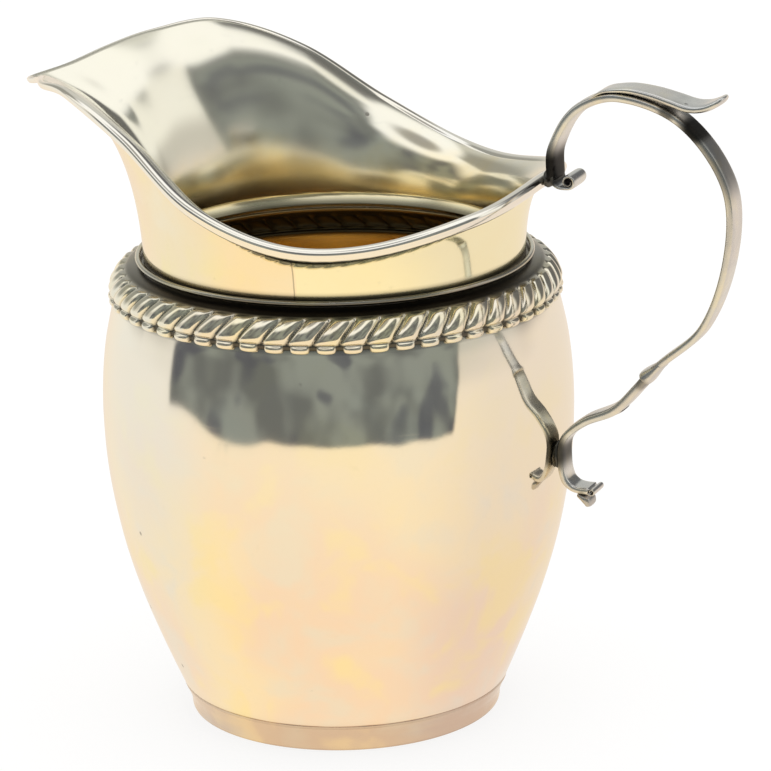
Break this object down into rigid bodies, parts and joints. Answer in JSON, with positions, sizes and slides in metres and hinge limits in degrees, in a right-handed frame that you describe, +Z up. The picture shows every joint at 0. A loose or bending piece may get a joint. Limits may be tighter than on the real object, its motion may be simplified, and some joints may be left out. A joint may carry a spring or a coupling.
{
  "type": "cream jug",
  "caption": "Small silver cream jug: barrel body on a foot ring, gadroon shoulder band, flared neck with pouring lip, double-scroll strap handle with thumb leaf.",
  "frame": {"origin": "on the body's axis, in the plane that the foot ring stands on, 0.7 mm under the middle of the base disc", "axes": "+Z up along the body's axis; +X towards the handle, with the pouring lip at -X; XZ is the plane of symmetry"},
  "size_m": [0.1188, 0.0762, 0.1039],
  "materials": {
    "body_silver": "polished silver with a warm, cloudy tarnish and fine scratches",
    "base_silver": "polished silver, duller and scratched underneath",
    "band_silver": "polished silver, oxidised dark in the hollows between the lobes",
    "neck_silver": "polished silver with a yellow tarnish and a soldered seam",
    "rim_silver": "bright polished silver wire",
    "handle_silver": "satin worn silver, dark in the recesses"
  },
  "bodies": {
    "root": {"body_shell": "body_silver", "foot_ring": "body_silver", "base_disc": "base_silver", "gadroon_band": "band_silver", "waist_wire": "band_silver", "neck_collar": "neck_silver", "rim_wire": "rim_silver", "upper_volute": "handle_silver", "handle_main_scroll": "handle_silver", "thumb_leaf": "handle_silver", "scroll_knop": "handle_silver", "handle_lower_scroll": "handle_silver", "lower_volute": "handle_silver", "lower_tail": "handle_silver"}
  },
  "joints": []
}
